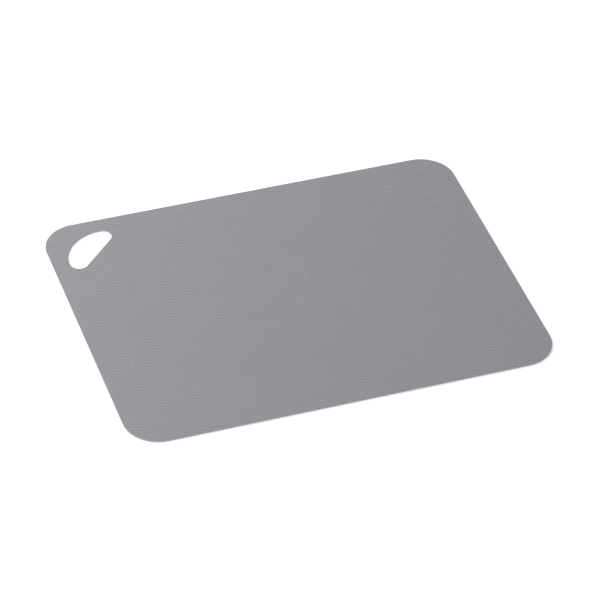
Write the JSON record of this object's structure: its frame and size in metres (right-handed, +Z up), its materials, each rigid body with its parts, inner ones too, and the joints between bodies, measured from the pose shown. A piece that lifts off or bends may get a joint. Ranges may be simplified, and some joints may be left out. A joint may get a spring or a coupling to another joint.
{
  "type": "flexible cutting mat",
  "caption": "Thin flexible grey plastic cutting mat with rounded corners, a fine dotted surface and a hanging hole in one corner; its ends curl up.",
  "frame": {"origin": "centre of the underside, on the worktop", "axes": "+X along the long side, away from the end with the hanging hole; +Y along the short side, towards the long edge that the hole is beside; +Z up, out of the working face"},
  "size_m": [0.36, 0.28, 0.0015],
  "materials": {
    "mat_plastic": "matte, fine moulded dots"
  },
  "bodies": {
    "middle_strip": {"middle_strip": "mat_plastic"},
    "left_strip_1": {"left_strip_1": "mat_plastic"},
    "left_strip_2": {"left_strip_2": "mat_plastic"},
    "left_strip_3": {"left_strip_3": "mat_plastic"},
    "left_strip_4": {"left_strip_4": "mat_plastic"},
    "left_strip_5": {"left_strip_5": "mat_plastic"},
    "left_strip_6": {"left_strip_6": "mat_plastic"},
    "left_strip_7": {"left_strip_7": "mat_plastic"},
    "left_strip_8": {"left_strip_8": "mat_plastic"},
    "left_strip_9": {"left_strip_9": "mat_plastic"},
    "left_strip_10": {"left_strip_10": "mat_plastic"},
    "hanging_end": {"hanging_end": "mat_plastic"},
    "right_strip_1": {"right_strip_1": "mat_plastic"},
    "right_strip_2": {"right_strip_2": "mat_plastic"},
    "right_strip_3": {"right_strip_3": "mat_plastic"},
    "right_strip_4": {"right_strip_4": "mat_plastic"},
    "right_strip_5": {"right_strip_5": "mat_plastic"},
    "right_strip_6": {"right_strip_6": "mat_plastic"},
    "right_strip_7": {"right_strip_7": "mat_plastic"},
    "right_strip_8": {"right_strip_8": "mat_plastic"},
    "right_strip_9": {"right_strip_9": "mat_plastic"},
    "right_strip_10": {"right_strip_10": "mat_plastic"},
    "plain_end": {"plain_end": "mat_plastic"}
  },
  "joints": [
    {"name": "left_curl", "type": "hinge", "parent": "middle_strip", "child": "left_strip_1", "pos_m": [-0.00563, 0, 0.00075], "axis": [0, 1, 0], "range_deg": [0, 10], "stiffness_Nm_per_rad": 1},
    {"name": "left_bend_2", "type": "hinge", "parent": "left_strip_1", "child": "left_strip_2", "pos_m": [-0.01689, 0, 0.00075], "axis": [0, 1, 0], "range_deg": [0, 9.9], "stiffness_Nm_per_rad": 1},
    {"name": "left_bend_3", "type": "hinge", "parent": "left_strip_2", "child": "left_strip_3", "pos_m": [-0.02814, 0, 0.00075], "axis": [0, 1, 0], "range_deg": [0, 9.7], "stiffness_Nm_per_rad": 1},
    {"name": "left_bend_4", "type": "hinge", "parent": "left_strip_3", "child": "left_strip_4", "pos_m": [-0.0394, 0, 0.00075], "axis": [0, 1, 0], "range_deg": [0, 9.3], "stiffness_Nm_per_rad": 1},
    {"name": "left_bend_5", "type": "hinge", "parent": "left_strip_4", "child": "left_strip_5", "pos_m": [-0.05066, 0, 0.00075], "axis": [0, 1, 0], "range_deg": [0, 8.9], "stiffness_Nm_per_rad": 1},
    {"name": "left_bend_6", "type": "hinge", "parent": "left_strip_5", "child": "left_strip_6", "pos_m": [-0.06191, 0, 0.00075], "axis": [0, 1, 0], "range_deg": [0, 8.3], "stiffness_Nm_per_rad": 1},
    {"name": "left_bend_7", "type": "hinge", "parent": "left_strip_6", "child": "left_strip_7", "pos_m": [-0.07317, 0, 0.00075], "axis": [0, 1, 0], "range_deg": [0, 7.6], "stiffness_Nm_per_rad": 1},
    {"name": "left_bend_8", "type": "hinge", "parent": "left_strip_7", "child": "left_strip_8", "pos_m": [-0.08443, 0, 0.00075], "axis": [0, 1, 0], "range_deg": [0, 6.9], "stiffness_Nm_per_rad": 1},
    {"name": "left_bend_9", "type": "hinge", "parent": "left_strip_8", "child": "left_strip_9", "pos_m": [-0.09569, 0, 0.00075], "axis": [0, 1, 0], "range_deg": [0, 6.1], "stiffness_Nm_per_rad": 1},
    {"name": "left_bend_10", "type": "hinge", "parent": "left_strip_9", "child": "left_strip_10", "pos_m": [-0.10694, 0, 0.00075], "axis": [0, 1, 0], "range_deg": [0, 5.2], "stiffness_Nm_per_rad": 1},
    {"name": "left_bend_11", "type": "hinge", "parent": "left_strip_10", "child": "hanging_end", "pos_m": [-0.1182, 0, 0.00075], "axis": [0, 1, 0], "range_deg": [0, 4.2], "stiffness_Nm_per_rad": 1},
    {"name": "right_curl", "type": "hinge", "parent": "middle_strip", "child": "right_strip_1", "pos_m": [0.00563, 0, 0.00075], "axis": [0, -1, 0], "range_deg": [0, 10], "stiffness_Nm_per_rad": 1},
    {"name": "right_bend_2", "type": "hinge", "parent": "right_strip_1", "child": "right_strip_2", "pos_m": [0.01689, 0, 0.00075], "axis": [0, -1, 0], "range_deg": [0, 9.9], "stiffness_Nm_per_rad": 1},
    {"name": "right_bend_3", "type": "hinge", "parent": "right_strip_2", "child": "right_strip_3", "pos_m": [0.02814, 0, 0.00075], "axis": [0, -1, 0], "range_deg": [0, 9.7], "stiffness_Nm_per_rad": 1},
    {"name": "right_bend_4", "type": "hinge", "parent": "right_strip_3", "child": "right_strip_4", "pos_m": [0.0394, 0, 0.00075], "axis": [0, -1, 0], "range_deg": [0, 9.3], "stiffness_Nm_per_rad": 1},
    {"name": "right_bend_5", "type": "hinge", "parent": "right_strip_4", "child": "right_strip_5", "pos_m": [0.05066, 0, 0.00075], "axis": [0, -1, 0], "range_deg": [0, 8.9], "stiffness_Nm_per_rad": 1},
    {"name": "right_bend_6", "type": "hinge", "parent": "right_strip_5", "child": "right_strip_6", "pos_m": [0.06191, 0, 0.00075], "axis": [0, -1, 0], "range_deg": [0, 8.3], "stiffness_Nm_per_rad": 1},
    {"name": "right_bend_7", "type": "hinge", "parent": "right_strip_6", "child": "right_strip_7", "pos_m": [0.07317, 0, 0.00075], "axis": [0, -1, 0], "range_deg": [0, 7.6], "stiffness_Nm_per_rad": 1},
    {"name": "right_bend_8", "type": "hinge", "parent": "right_strip_7", "child": "right_strip_8", "pos_m": [0.08443, 0, 0.00075], "axis": [0, -1, 0], "range_deg": [0, 6.9], "stiffness_Nm_per_rad": 1},
    {"name": "right_bend_9", "type": "hinge", "parent": "right_strip_8", "child": "right_strip_9", "pos_m": [0.09569, 0, 0.00075], "axis": [0, -1, 0], "range_deg": [0, 6.1], "stiffness_Nm_per_rad": 1},
    {"name": "right_bend_10", "type": "hinge", "parent": "right_strip_9", "child": "right_strip_10", "pos_m": [0.10694, 0, 0.00075], "axis": [0, -1, 0], "range_deg": [0, 5.2], "stiffness_Nm_per_rad": 1},
    {"name": "right_bend_11", "type": "hinge", "parent": "right_strip_10", "child": "plain_end", "pos_m": [0.1182, 0, 0.00075], "axis": [0, -1, 0], "range_deg": [0, 4.2], "stiffness_Nm_per_rad": 1}
  ],
  "couplings": [
    {"joint": "left_bend_2", "follows": "left_curl", "ratio": 0.99},
    {"joint": "left_bend_3", "follows": "left_curl", "ratio": 0.97},
    {"joint": "left_bend_4", "follows": "left_curl", "ratio": 0.93},
    {"joint": "left_bend_5", "follows": "left_curl", "ratio": 0.89},
    {"joint": "left_bend_6", "follows": "left_curl", "ratio": 0.83},
    {"joint": "left_bend_7", "follows": "left_curl", "ratio": 0.76},
    {"joint": "left_bend_8", "follows": "left_curl", "ratio": 0.69},
    {"joint": "left_bend_9", "follows": "left_curl", "ratio": 0.61},
    {"joint": "left_bend_10", "follows": "left_curl", "ratio": 0.52},
    {"joint": "left_bend_11", "follows": "left_curl", "ratio": 0.42},
    {"joint": "right_bend_2", "follows": "right_curl", "ratio": 0.99},
    {"joint": "right_bend_3", "follows": "right_curl", "ratio": 0.97},
    {"joint": "right_bend_4", "follows": "right_curl", "ratio": 0.93},
    {"joint": "right_bend_5", "follows": "right_curl", "ratio": 0.89},
    {"joint": "right_bend_6", "follows": "right_curl", "ratio": 0.83},
    {"joint": "right_bend_7", "follows": "right_curl", "ratio": 0.76},
    {"joint": "right_bend_8", "follows": "right_curl", "ratio": 0.69},
    {"joint": "right_bend_9", "follows": "right_curl", "ratio": 0.61},
    {"joint": "right_bend_10", "follows": "right_curl", "ratio": 0.52},
    {"joint": "right_bend_11", "follows": "right_curl", "ratio": 0.42}
  ]
}
